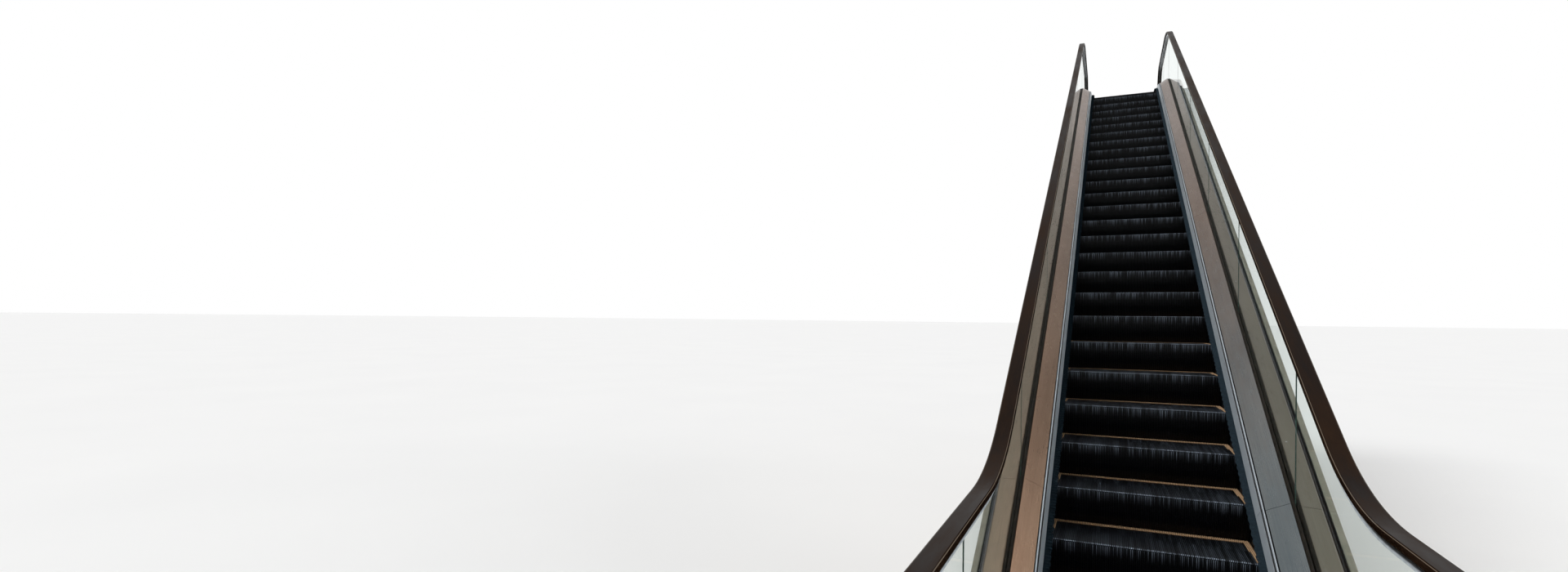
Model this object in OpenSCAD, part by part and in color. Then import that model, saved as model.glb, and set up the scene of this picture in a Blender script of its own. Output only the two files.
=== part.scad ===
// Escalator with glass balustrades, 30 degree incline, complete with its truss and cladding.
// Millimetres, +Z up. X is across the steps, +Y points from the lower to the upper landing.
// The origin is the middle of the lower support angle's bearing face.
// Inside the modules z = 0 is the tread level of the lower landing and y = 0 the lower truss end.

/* [Run] */
// Height between the two landings
rise = 5500; // [3000:50:6000]
// Angle of the inclined run, in degrees
incline = 30; // [27:0.5:35]
// Lower truss end to the lower comb
low_end = 1372; // [1300:2:1700]
// Upper comb to the upper truss end
top_end = 1388; // [1300:2:1700]
// Radius of the step path in the lower bend
low_r = 1000; // [1000:50:1500]
// Radius of the step path in the upper bend
top_r = 1500; // [1000:50:2000]
// Level run of the treads between bend and comb
flat_run = 810; // [700:10:1000]

/* [Steps] */
// Width of the treads
step_w = 1000; // [600:50:1100]
// Depth of one tread
tread_d = 400; // [395:1:402]
// Pitch of the step chain
pitch = 405.3; // [404:0.1:410]
// How far the first full step stands along the path from the lower bend's start
phase = 1155.7; // [1100:5:1400]
// Thickness of the tread plate
tread_t = 28; // [24:1:40]
// Thickness of the riser
riser_t = 12; // [8:1:20]
// Depth of the coloured insert along the rear edge of the tread
edge_w = 42; // [30:1:60]
// Width of the coloured side inserts at the rear edge
edge_side = 30; // [20:1:60]
// Width of the coloured side inserts at the nosing
edge_front = 24; // [15:1:60]
// Thickness of the coloured edge inserts
edge_t = 8; // [5:1:12]
// Distance from the nosing back to the main axle
axle_back = 250; // [220:5:280]
// Depth of the main axle below the tread
axle_drop = 230; // [220:5:260]
// Radius of the rollers
roller_r = 38; // [30:1:40]
// Width of the main rollers
roller_w = 40; // [25:1:45]
// Radius of the axles
axle_r = 12; // [8:1:15]
// Distance from the nosing back to the trailing roller
trail_back = 85; // [80:1:110]
// Depth of the trailing roller below the tread
trail_drop = 310; // [305:1:330]

/* [Band drive] */
// Radius of the chain round the turning wheels
turn_r = 300; // [260:5:320]
// Height of the chain's links
chain_h = 34; // [26:1:40]
// Thickness of the chain
chain_t = 12; // [8:1:20]
// Truss end to the turning shaft
turn_y = 950; // [800:10:1000]
// Radius of the turning shafts
shaft_r = 50; // [35:1:60]
// Height of the main rail
rail_h = 30; // [20:1:40]

/* [Balustrade] */
// Handrail height above the tread on the landings
rail_top = 955; // [900:5:1100]
// Handrail height above the nosing line on the incline, plumb
rail_top_incline = 970; // [900:5:1100]
// Radius of the handrail in the lower bend
rail_low_r = 1350; // [900:50:1600]
// Radius of the handrail in the upper bend
rail_top_r = 1800; // [1200:50:2400]
// Width of the handrail
rail_w = 78; // [70:1:84]
// Newel end beyond the lower comb
newel_low = 892; // [800:2:900]
// Newel end beyond the upper comb
newel_top = 988; // [850:2:1000]
// Thickness of the glass
glass_t = 10; // [8:1:12]
// Width of one glass panel on the incline
glass_len = 1685; // [1400:5:1900]
// First plumb glass joint above the lower working point
glass_first = 930; // [800:10:1100]
// Last plumb glass joint before the upper comb
glass_last = 232; // [150:2:400]
// Gap between two glass panels
glass_gap = 3; // [2:0.5:6]
// Height of the return handrail above the nosing line
return_d = 74; // [70:1:76]

/* [Decks and skirts] */
// Gap between step and skirt
skirt_gap = 4; // [2:0.5:5]
// Thickness of the skirt panels
skirt_t = 4; // [2:0.5:6]
// Depth of the skirt below the nosing line
skirt_low = 185; // [180:1:188]
// Width of the inner deck
inner_w = 99; // [70:1:140]
// Rise of the inner deck across its width
inner_rise = 64; // [40:1:80]
// Thickness of the deck sheets
sheet = 3; // [2:0.5:4]
// Width of the outer deck
outer_w = 90; // [60:1:140]
// Width of the recess between deck and cladding
groove_w = 27; // [15:1:40]
// Width of the cladding's top edge
cap_w = 31; // [20:1:50]
// Length of the brush that stands out over the steps
brush_w = 28; // [15:1:35]
// How far the brush's trim stands out from the skirt
trim_out = 6; // [4:1:10]
// First joint of the deck sheets above the lower bend, along the incline
deck_first = 893; // [700:1:1200]
// Length of one deck sheet on the incline
deck_len = 3891; // [1900:1:4000]
// Gap between two deck sheets
deck_gap = 2; // [1:0.5:3]

/* [Truss and cladding] */
// Depth of the truss below the nosing line, to its underside
truss_depth = 1040; // [1000:10:1200]
// Width of the chords
chord_w = 80; // [60:5:100]
// Height of the chords
chord_h = 80; // [60:5:100]
// Number of bays in the inclined run
bays = 8; // [7:1:10]
// Thickness of the cladding sheet
clad_t = 4; // [2:0.5:6]
// Height of the support angle's bearing face below the lower tread level
bearing_drop = 80; // [80:5:120]
// Reach of the support angles beyond the truss
angle_reach = 140; // [120:5:180]
// Thickness of the support angles
angle_t = 20; // [15:1:25]

/* [Landings] */
// Height of the floor plates above the treads
plate_up = 20; // [15:1:30]
// Thickness of the floor plates
plate_t = 20; // [15:1:30]
// Depth of the comb plate
comb_d = 240; // [180:10:300]
// Number of comb teeth
teeth = 110; // [60:2:120]

/* [Hidden] */
$fn = 64;
clear = 0.3;
half = incline / 2;
tanI = tan(incline);
cosI = cos(incline);
sinI = sin(incline);
tanH = tan(half);

function tenth(v) = round(v * 10) / 10;

// Working points of the nosing path: lower and upper
low_comb = low_end;
low_arc_y = low_comb + flat_run;
v1 = [tenth(low_arc_y + low_r * tanH), 0];
v2 = [tenth(v1[0] + rise / tanI), rise];
top_arc_y = tenth(v2[0] + top_r * tanH);
top_comb = top_arc_y + flat_run;
total = top_comb + top_end;
s_low = low_r * incline * PI / 180;
run_len = norm(v2 - v1) - (low_r + top_r) * tanH;
s_top = top_r * incline * PI / 180;

// Lines across the section, as distances from the middle of the steps
sh = step_w / 2;
x_skirt = sh + skirt_gap;
x_back = x_skirt + skirt_t;
x_deck = x_back + 24;
x_clamp = x_deck + inner_w + 2;
clamp_wall = 4;
gasket_w = 15.5;
clamp_w = 2 * (clamp_wall + gasket_w) + glass_t;
x_glass = x_clamp + clamp_w / 2;
x_outer = x_clamp + clamp_w;
x_groove = x_outer + outer_w;
x_cap = x_groove + groove_w;
x_side = x_cap + cap_w;
x_truss = x_side - 40;
x_chord = x_truss - chord_w;

// Levels across the section, measured square to the nosing path
d_skirt = 52;
d_ledge = 96;
d_deck = 114;
d_clamp_low = 100;
clamp_floor = 10;
d_clamp = d_deck + inner_rise - 6;
d_outer = d_clamp - 6;
d_fall = 10;
d_chord = -60;
d_cap = 150;
d_soffit = truss_depth + 16;

// Handrail reference line: the top of its guide
belt_top = 9;
belt_low = 20;
hr_flat = rail_top - belt_top;
hr_incl = rail_top_incline * cosI - belt_top;
hr_shift = (hr_flat - hr_incl / cosI) / tanI;
h1 = [v1[0] + hr_shift, hr_flat];
h2 = [v2[0] + hr_shift, rise + hr_flat];
newel_r = (hr_flat - return_d) / 2;
n_low_y = tenth(low_comb - newel_low + newel_r + belt_top);
n_top_y = tenth(top_comb + newel_top - newel_r - belt_top);
n_low_z = hr_flat - newel_r;
n_top_z = rise + n_low_z;
base_low = n_low_y + 20;
base_top = n_top_y - 20;
end_t = 60;
deck_low = base_low + end_t;
deck_top = base_top - end_t;

// Lateral places of the running gear
frame_x = sh - 95;
frame_t = 25;
trail_x = frame_x + frame_t + 10;
trail_w = 30;
main_x = x_back + 12;
chain_x = main_x + roller_w + 1;

// Axle path: the nosing path moved by the axle's place in the step
ax1 = v1 + [axle_back, -axle_drop];
ax2 = v2 + [axle_back, -axle_drop];
tr1 = v1 + [trail_back, -trail_drop];
tr2 = v2 + [trail_back, -trail_drop];
back_drop = axle_drop + 2 * turn_r;
rt1 = v1 + [axle_back, -back_drop];
rt2 = v2 + [axle_back, -back_drop];

// Distances square to the incline of the rails' undersides
main_under_i = -(axle_back * sinI + axle_drop * cosI) - roller_r - clear - rail_h;
trail_top_i = -(trail_back * sinI + trail_drop * cosI) - roller_r - clear;
trail_rail_h = trail_top_i - main_under_i;
main_under_f = -axle_drop - roller_r - clear - rail_h;
trail_under_f = -trail_drop - roller_r - clear - trail_rail_h;

steel = [0.36, 0.37, 0.38];
stainless = [0.62, 0.6, 0.57];
bright = [0.78, 0.79, 0.8];
beige = [0.66, 0.6, 0.52];
bronze = [0.2, 0.15, 0.11];
black = [0.05, 0.05, 0.06];
step_black = [0.07, 0.075, 0.085];
tan_edge = [0.72, 0.5, 0.24];
belt_brown = [0.09, 0.065, 0.055];
glass_tint = [0.66, 0.75, 0.72, 0.4];

// Point and angle on the nosing path at the distance s from the lower bend's start
function on_path(s) =
  s < 0 ? [low_arc_y + s, 0, 0] :
  s < s_low ? let (a = s / low_r * 180 / PI) [low_arc_y + low_r * sin(a), low_r * (1 - cos(a)), a] :
  s < s_low + run_len ? let (t = s - s_low, y0 = low_arc_y + low_r * sinI, z0 = low_r * (1 - cosI))
    [y0 + t * cosI, z0 + t * sinI, incline] :
  s < s_low + run_len + s_top ? let (a = incline - (s - s_low - run_len) / top_r * 180 / PI)
    [top_arc_y - top_r * sin(a), rise - top_r * (1 - cos(a)), a] :
  [top_arc_y + s - s_low - run_len - s_top, rise, 0];

// Corner of the mitred line that runs d above the nosing path
function mitre(v, d) = [v[0] - d * tanH, v[1] + d];

// Straight stretch of a profile drawn as [x, d], from y0 to y1 on the level z
module level_run(y0, y1, z) {
  translate([0, y1, z]) rotate([90, 0, 0]) linear_extrude(y1 - y0) children();
}

// A profile drawn as [x, d] swept along a path of two levels, two bends and an incline.
// p1 and p2 are the path's working points and r1 and r2 its radii.
// The bends and the incline are lengths of their own with a hairline joint; an endless piece
// has a core across each joint. Further joints are distances along the incline.
// Children stand at the upper end.
core_l = 15;
module path_run(profile, p1, p2, r1, r2, y_from, y_to, core = [], joints = []) {
  ya = tenth(p1[0] - r1 * tanH);
  yb = tenth(p2[0] + r2 * tanH);
  length = tenth(norm(p2 - p1) - (r1 + r2) * tanH);
  level_run(y_from, ya, p1[1]) polygon(profile);
  translate([0, ya, p1[1] + r1]) {
    rotate([0, 90, 0]) rotate_extrude(angle = incline, $fn = 128)
      polygon([for (p = profile) [r1 - p[1], p[0]]]);
    rotate([incline, 0, 0]) translate([0, 0, -r1]) {
      if (len(joints) == 0) level_run(clear, length - clear, 0) polygon(profile);
      else {
        level_run(clear, joints[0] - deck_gap / 2, 0) polygon(profile);
        for (i = [1:1:len(joints) - 1])
          level_run(joints[i - 1] + deck_gap / 2, joints[i] - deck_gap / 2, 0) polygon(profile);
        level_run(joints[len(joints) - 1] + deck_gap / 2, length - clear, 0) polygon(profile);
      }
      if (len(core) > 0) for (y = [0, length]) level_run(y - core_l, y + core_l, 0) polygon(core);
      translate([0, length, -r2]) rotate([-incline, 0, 0]) {
        rotate([0, 0, 180]) rotate([0, -90, 0]) rotate_extrude(angle = incline, $fn = 128)
          polygon([for (p = profile) [r2 + p[1], p[0]]]);
        translate([0, 0, r2]) {
          level_run(0, y_to - yb, 0) polygon(profile);
          translate([0, y_to - yb, 0]) children();
        }
      }
    }
  }
}

// The same along the nosing path between the newel covers
module deck_run(profile, joints = []) {
  path_run(profile, v1, v2, low_r, top_r, tenth(deck_low) + clear, tenth(deck_top) - clear, joints = joints);
}

// Joints of the deck sheets and trims, which fall in line with every second glass joint
deck_joints = [for (t = [deck_first:deck_len:run_len - 500]) t];

// A flat band square to X between two mitred lines, from x0 to x1
module band(d0, d1, x0, x1, y0, y1) {
  translate([x0, 0, 0]) rotate([90, 0, 90]) linear_extrude(x1 - x0)
    polygon([[y0, d0], mitre(v1, d0), mitre(v2, d0), [y1, rise + d0],
      [y1, rise + d1], mitre(v2, d1), mitre(v1, d1), [y0, d1]]);
}

// Both hands of a piece drawn on the right
module both() {
  children();
  mirror([1, 0, 0]) children();
}

// Left hand of a piece drawn on the right
module left_hand() {
  mirror([1, 0, 0]) children();
}

// Steps of the band, counted from the first full step above the lower bend
first_step = ceil((low_comb - low_arc_y - 100 - phase) / pitch);
last_step = floor((s_low + run_len + s_top + flat_run - 90 - phase) / pitch);
step_a = 8;
step_b = 16;
step_c = ceil((s_low + run_len - phase) / pitch) - 1;

module step_profile() {
  a0 = asin(tread_t / (tread_d - riser_t));
  polygon(concat(
    [[tread_d, -edge_t], [tread_d, -tread_t]],
    [for (i = [0:6]) let (a = a0 + (30 - a0) * i / 6)
      [tread_d - (tread_d - riser_t) * cos(a), -(tread_d - riser_t) * sin(a)]],
    [for (i = [0:7]) let (a = 30 * (7 - i) / 7, z = -tread_d * sin(a))
      if (z <= -edge_t) [tread_d - tread_d * cos(a), z]],
    [[tread_d - sqrt(tread_d * tread_d - edge_t * edge_t), -edge_t]]));
}

module step_frame_profile() {
  polygon([[18, -tread_t + 1], [tread_d - 20, -tread_t + 1], [tread_d - 30, -tread_t - 22],
    [axle_back + 34, -axle_drop - 12], [axle_back + 16, -axle_drop - 30], [axle_back - 16, -axle_drop - 30],
    [axle_back - 60, -axle_drop + 42], [trail_back + 30, -trail_drop - 4], [trail_back + 14, -trail_drop - 20],
    [trail_back - 12, -trail_drop - 18], [trail_back - 18, -trail_drop + 12], [60, -trail_drop + 72],
    [58, -206], [40, -150]]);
}

// Outline in plan of the tread between its inserts, from y0 back
module tread_outline(y0) {
  x0 = edge_line(y0);
  polygon([[-x0, y0], [x0, y0], [sh - edge_side, tread_d - edge_w], [-sh + edge_side, tread_d - edge_w]]);
}
function edge_line(y) = sh - edge_front - (edge_side - edge_front) * y / (tread_d - edge_w);

module one_step() {
  rotate([90, 0, 90]) translate([0, 0, -sh]) linear_extrude(step_w) step_profile();
  translate([0, 0, -edge_t]) linear_extrude(edge_t) tread_outline(0);
  both() {
    translate([frame_x, 0, 0]) rotate([90, 0, 90]) linear_extrude(frame_t) step_frame_profile();
    translate([main_x, axle_back, -axle_drop]) rotate([0, 90, 0]) cylinder(r = roller_r, h = roller_w);
    translate([trail_x, trail_back, -trail_drop]) rotate([0, 90, 0]) cylinder(r = roller_r, h = trail_w);
    translate([frame_x, trail_back, -trail_drop]) rotate([0, 90, 0]) cylinder(r = axle_r, h = trail_x + trail_w - frame_x);
  }
  translate([-chain_x, axle_back, -axle_drop]) rotate([0, 90, 0]) cylinder(r = axle_r, h = 2 * chain_x);
}

module steps(from, to) {
  for (i = [from:to]) let (p = on_path(phase + i * pitch))
    translate([0, p[0], p[1]]) one_step();
}

module steps_lower() { color(step_black) steps(first_step, -1); }
module steps_incline_a() { color(step_black) steps(0, step_a - 1); }
module steps_incline_b() { color(step_black) steps(step_a, step_b - 1); }
module steps_incline_c() { color(step_black) steps(step_b, step_c); }
module steps_upper() { color(step_black) steps(step_c + 1, last_step); }

module step_edges() {
  color(tan_edge) for (i = [first_step:last_step]) let (p = on_path(phase + i * pitch))
    translate([0, p[0], p[1] - edge_t]) linear_extrude(edge_t)
      polygon([[-sh, 0.1], [-edge_line(0.1), 0.1], [-sh + edge_side, tread_d - edge_w], [sh - edge_side, tread_d - edge_w],
        [edge_line(0.1), 0.1], [sh, 0.1], [sh, tread_d], [-sh, tread_d]]);
}

// Rails under the rollers, from turning shaft to turning shaft
module step_rails() {
  main = [[main_x - 5, -roller_r - clear - rail_h], [main_x + roller_w - 1, -roller_r - clear - rail_h],
    [main_x + roller_w - 1, -roller_r - clear], [main_x - 5, -roller_r - clear]];
  trail = [[trail_x - 3, -roller_r - clear - trail_rail_h], [trail_x + trail_w + 3, -roller_r - clear - trail_rail_h],
    [trail_x + trail_w + 3, -roller_r - clear], [trail_x - 3, -roller_r - clear]];
  color(steel) both() {
    path_run(main, ax1, ax2, low_r, top_r, turn_y + 120, total - turn_y - 120);
    path_run(trail, tr1, tr2, low_r, top_r, turn_y + 120, total - turn_y - 120);
  }
}

// Chain loops: carrying run, turns and return run in one piece
module step_chains() {
  links = [[chain_x, -chain_h / 2], [chain_x + chain_t, -chain_h / 2],
    [chain_x + chain_t, chain_h / 2], [chain_x, chain_h / 2]];
  core = [[chain_x + 3, -chain_h / 2 + 4], [chain_x + chain_t - 3, -chain_h / 2 + 4],
    [chain_x + chain_t - 3, chain_h / 2 - 4], [chain_x + 3, chain_h / 2 - 4]];
  top_y = tenth(total) - turn_y;
  color(steel) both() {
    translate([0, turn_y, -axle_drop - turn_r]) mirror([0, 1, 0]) chain_turn(links);
    path_run(links, ax1, ax2, low_r, top_r, turn_y, top_y, core) {
      translate([0, 0, -turn_r]) chain_turn(links);
      level_run(-400, 0, -2 * turn_r) polygon(links);
    }
    path_run(links, rt1, rt2, low_r, top_r, turn_y, top_y - 395, core);
  }
}
module chain_turn(links) {
  rotate([0, 90, 0]) rotate_extrude(angle = 180, start = 0, $fn = 128)
    polygon([for (p = links) [turn_r + p[1], p[0]]]);
}

module turning_shafts() {
  color(steel) for (q = [[turn_y, 0], [total - turn_y, rise]])
    translate([0, q[0], q[1] - axle_drop - turn_r]) rotate([0, 90, 0]) {
      translate([0, 0, -x_chord]) cylinder(r = shaft_r, h = 2 * x_chord);
      for (s = [-1, 1]) translate([0, 0, s * (chain_x + chain_t / 2) - chain_t / 2])
        cylinder(r = turn_r - chain_h / 2 - clear, h = chain_t);
    }
  // Bearing plates between the chords
  color(steel) both() for (q = [[turn_y, 0], [total - turn_y, rise]]) difference() {
    translate([x_chord - 20, q[0] - 70, q[1] - truss_depth + 20]) cube([20, 140, truss_depth + d_chord - 40]);
    translate([x_chord - 21, q[0], q[1] - axle_drop - turn_r]) rotate([0, 90, 0]) cylinder(r = shaft_r + clear, h = 22);
  }
}

// Skirts with their stiffening flange
module skirt() {
  difference() {
    deck_run([[x_skirt, -skirt_low], [x_back + 10, -skirt_low], [x_back + 10, -skirt_low + sheet],
      [x_back, -skirt_low + sheet], [x_back, d_skirt], [x_skirt, d_skirt]]);
    // Openings for the feet of the comb plates
    for (q = [[low_comb - comb_d, 0], [top_comb + comb_d - foot_w, rise]])
      translate([x_skirt - 1, q[0] - 1, q[1] + d_chord - 1]) cube([skirt_t + 2, foot_w + 2, 66]);
  }
}
module skirt_left() { color(black) left_hand() skirt(); }
module skirt_right() { color(black) skirt(); }

module brush_holders() {
  color(bright) both() deck_run([[x_skirt - trim_out, d_skirt], [x_deck + 2, d_skirt], [x_deck + 2, d_ledge],
    [x_deck - 3, d_ledge], [x_deck - 3, d_ledge + 16], [x_deck - 11, d_ledge + 16], [x_deck - 11, d_ledge + 2],
    [x_deck - 16, d_ledge + 2], [x_deck - 16, d_ledge + 12], [x_deck - 20, d_ledge + 12]], deck_joints);
}

module skirt_brushes() {
  color(black) both() deck_run([[x_skirt - brush_w, d_skirt - 11], [x_skirt, d_skirt - 13],
    [x_skirt, d_skirt], [x_skirt - trim_out, d_skirt], [x_skirt - brush_w, d_skirt - 4]]);
}

// Inner deck: a sheet folded down at both edges
module inner_deck() {
  top = d_deck + inner_rise;
  k = sheet * inner_rise / inner_w;
  deck_run([[x_deck, d_ledge], [x_deck + sheet, d_ledge], [x_deck + sheet, d_deck - sheet + k],
    [x_clamp - sheet, top - sheet - k], [x_clamp - sheet, d_clamp - 22], [x_clamp, d_clamp - 22],
    [x_clamp, top], [x_deck, d_deck]], deck_joints);
}
module inner_deck_left() { color(stainless) left_hand() inner_deck(); }
module inner_deck_right() { color(stainless) inner_deck(); }

module glass_clamp() {
  deck_run([[x_clamp, d_clamp_low], [x_outer, d_clamp_low], [x_outer, d_clamp],
    [x_outer - clamp_wall, d_clamp], [x_outer - clamp_wall, d_clamp_low + clamp_floor],
    [x_clamp + clamp_wall, d_clamp_low + clamp_floor], [x_clamp + clamp_wall, d_clamp], [x_clamp, d_clamp]]);
}
module glass_clamp_left() { color(bright) left_hand() glass_clamp(); }
module glass_clamp_right() { color(bright) glass_clamp(); }

module glass_gaskets() {
  color(black) both() for (x = [x_clamp + clamp_wall, x_glass + glass_t / 2])
    deck_run([[x, d_clamp_low + clamp_floor], [x + gasket_w, d_clamp_low + clamp_floor],
      [x + gasket_w, d_clamp + 1], [x + gasket_w - 4, d_clamp + 4], [x + 4, d_clamp + 4], [x, d_clamp + 1]]);
}

module outer_deck() {
  deck_run([[x_outer, d_outer - 18], [x_outer + sheet, d_outer - 18], [x_outer + sheet, d_outer - sheet],
    [x_groove - sheet, d_outer - d_fall - sheet], [x_groove - sheet, 120], [x_groove, 120],
    [x_groove, d_outer - d_fall], [x_outer, d_outer]], deck_joints);
}
module outer_deck_left() { color(stainless) left_hand() outer_deck(); }
module outer_deck_right() { color(stainless) outer_deck(); }

module groove_strips() {
  color(bronze) both() deck_run([[x_groove, 122], [x_cap, 122], [x_cap, 130], [x_groove, 130]], deck_joints);
}

module cladding_caps() {
  color(beige) both() deck_run([[x_cap, 112], [x_side, 112], [x_side, d_cap - 4], [x_side - 4, d_cap],
    [x_cap + 4, d_cap], [x_cap, d_cap - 4]], deck_joints);
}

// Glass: one sheet outline in the plane of the balustrade, cut at the plumb joints
glass_edge = 32;
glass_in = glass_edge + 0.7;
glass_foot = d_clamp_low + clamp_floor + 0.5;
function arc_pts(c, r, a0, a1, n) = [for (i = [0:n]) let (a = a0 + (a1 - a0) * i / n) [c[0] + r * cos(a), c[1] + r * sin(a)]];
function bend_pts(p1, r1, p2, r2, d, n) =
  let (ya = p1[0] - r1 * tanH, yb = p2[0] + r2 * tanH)
  concat(
    [for (i = [0:n]) let (a = incline * i / n) [ya + (r1 - d) * sin(a), p1[1] + r1 - (r1 - d) * cos(a)]],
    [for (i = [0:n]) let (a = incline * (n - i) / n) [yb - (r2 + d) * sin(a), p2[1] - r2 + (r2 + d) * cos(a)]]);
function flip(v) = [for (i = [len(v) - 1:-1:0]) v[i]];

module glass_outline() {
  rg = newel_r - glass_in;
  top = bend_pts(h1, rail_low_r, h2, rail_top_r, -glass_in, 10);
  low = bend_pts(v1, low_r, v2, top_r, glass_foot, 10);
  polygon(concat(
    arc_pts([n_low_y, n_low_z], rg, 270, 90, 36), top,
    arc_pts([n_top_y, n_top_z], rg, 90, -90, 36),
    [[base_top, n_top_z - rg], [base_top, rise + d_clamp + 6], [deck_top, rise + d_clamp + 6],
     [deck_top, rise + glass_foot]],
    flip(low),
    [[deck_low, glass_foot], [deck_low, d_clamp + 6], [base_low, d_clamp + 6],
     [base_low, n_low_z - rg]]));
}

glass_count = floor((top_arc_y - v1[0] - glass_first) / glass_len);
glass_joints = concat([v1[0] + glass_first - glass_len],
  [for (i = [0:glass_count]) v1[0] + glass_first + i * glass_len], [top_comb - glass_last]);

module glass_panels() {
  difference() {
    translate([x_glass - glass_t / 2, 0, 0]) rotate([90, 0, 90]) linear_extrude(glass_t) glass_outline();
    for (y = glass_joints)
      translate([x_glass - glass_t, y - glass_gap / 2, -50]) cube([2 * glass_t, glass_gap, rise + rail_top + 100]);
  }
}
module glass_panels_left() { color(glass_tint) left_hand() glass_panels(); }
module glass_panels_right() { color(glass_tint) glass_panels(); }

// Handrail: belt on a guide, both drawn round x = 0
module newel_low_arc(profile) {
  translate([0, n_low_y, n_low_z]) rotate([0, 0, 180]) rotate([0, -90, 0])
    rotate_extrude(angle = 180, $fn = 128) polygon([for (p = profile) [newel_r + p[1], p[0]]]);
}
module newel_top_arc(profile) {
  translate([0, 0, -newel_r]) rotate([180, 0, 0]) rotate([0, 0, 180]) rotate([0, -90, 0])
    rotate_extrude(angle = 180, $fn = 128) polygon([for (p = profile) [newel_r + p[1], p[0]]]);
}

function rail_core(d, up) = let (x = rail_w / 2 - 12)
  [[-x, d + up], [x, d + up], [x, d + up * (belt_top - 2)], [-x, d + up * (belt_top - 2)]];

module handrail() {
  w = rail_w / 2;
  belt = [[-w, -1], [-w + 2, 5], [-w + 8, belt_top], [w - 8, belt_top], [w - 2, 5], [w, -1],
    [w, -12], [w - 3, -18], [w - 8, -belt_low], [w - 16, -belt_low], [w - 16, -15], [w - 8, -13.5], [w - 8, -1],
    [-w + 8, -1], [-w + 8, -13.5], [-w + 16, -15], [-w + 16, -belt_low], [-w + 8, -belt_low], [-w + 3, -18], [-w, -12]];
  turned = [for (p = belt) [p[0], return_d - p[1]]];
  translate([x_glass, 0, 0]) {
    newel_low_arc(belt);
    path_run(belt, h1, h2, rail_low_r, rail_top_r, n_low_y, n_top_y, rail_core(0, 1)) {
      newel_top_arc(belt);
      level_run(-400, 0, -hr_flat) polygon(turned);
    }
    path_run(turned, v1, v2, low_r, top_r, n_low_y, n_top_y - 395, rail_core(return_d, -1));
  }
}
module handrail_left() { color(belt_brown) left_hand() handrail(); }
module handrail_right() { color(belt_brown) handrail(); }

module handrail_guide() {
  head = rail_w / 2 - 8 - clear;
  neck = rail_w / 2 - 16 - 4;
  g = glass_t / 2;
  guide = [[-head, -1 - clear], [-head, -13], [-neck, -13], [-neck, -52], [-g, -52], [-g, -glass_edge],
    [g, -glass_edge], [g, -52], [neck, -52], [neck, -13], [head, -13], [head, -1 - clear]];
  translate([x_glass, 0, 0]) {
    newel_low_arc(guide);
    path_run(guide, h1, h2, rail_low_r, rail_top_r, n_low_y, n_top_y) newel_top_arc(guide);
  }
}
module handrail_guide_left() { color(bright) left_hand() handrail_guide(); }
module handrail_guide_right() { color(bright) handrail_guide(); }

module handrail_lights() {
  neck = rail_w / 2 - 16 - 4;
  color([0.9, 0.92, 0.95]) both() translate([x_glass, 0, 0])
    path_run([[-neck - 4, -51], [-neck, -51], [-neck, -43], [-neck - 4, -43]],
      h1, h2, rail_low_r, rail_top_r, n_low_y, n_top_y);
}

// End covers of the balustrade base, with the opening where the handrail runs in
module cover_profile() {
  polygon([[x_skirt, -plate_t], [x_side, -plate_t], [x_side, d_cap], [x_cap, d_cap], [x_groove, d_outer - d_fall],
    [x_outer, d_outer], [x_outer, d_clamp + 4], [x_clamp, d_deck + inner_rise], [x_deck, d_deck], [x_skirt, d_skirt]]);
}

inlet_gap = 12;
module inlet_cut(y0, len, z, grow) {
  translate([x_glass - rail_w / 2 - grow, y0, z + return_d - belt_top - grow])
    cube([rail_w + 2 * grow, len, belt_top + belt_low + 2 * grow]);
}

module newel_covers() {
  color(stainless) both() for (q = [[base_low, 0], [deck_top, rise]]) difference() {
    level_run(q[0], q[0] + end_t, q[1]) cover_profile();
    inlet_cut(q[0] - 1, end_t + 2, q[1], inlet_gap);
    // Slot that lets the glass pass down to its clamp
    translate([x_glass - glass_t / 2 - 1, q[0] - 1, q[1] + return_d]) cube([glass_t + 2, end_t + 2, 400]);
  }
}

module handrail_inlets() {
  color(black) both() for (q = [[base_low - 6, 0], [base_top - 14, rise]]) difference() {
    inlet_cut(q[0], 20, q[1], inlet_gap);
    inlet_cut(q[0] - 1, 22, q[1], clear);
    translate([x_glass - glass_t / 2 - 1, q[0] - 1, q[1] + return_d]) cube([glass_t + 2, 22, 400]);
  }
}

// Brackets between truss, skirt, clamp and deck
bracket_t = 50;
module bracket() {
  rotate([90, 0, 0]) translate([0, 0, -bracket_t / 2]) linear_extrude(bracket_t)
    polygon([[x_back, d_chord + clear], [x_truss, d_chord + clear], [x_truss, 119.7], [x_groove - 12, 119.7],
      [x_groove - 12, d_outer - 18 - clear], [x_outer, d_outer - 18 - clear], [x_outer, d_clamp_low + 4],
      [x_outer + 24, d_clamp_low + 4], [x_outer + 24, 40], [x_back, 40]]);
}
bracket_s = concat([(deck_low + low_comb - comb_d) / 2 - low_arc_y, -flat_run - 60, -flat_run / 2],
  [for (i = [0:bays]) s_low + 120 + i * (run_len - 240) / bays],
  [for (y = [flat_run / 2, flat_run + 60, (deck_top + top_comb + comb_d) / 2 - top_arc_y]) s_low + run_len + s_top + y]);

module balustrade_brackets() {
  color(steel) both() for (s = bracket_s) let (p = on_path(s))
    translate([0, p[0], p[1]]) rotate([p[2], 0, 0]) bracket();
}

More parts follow.
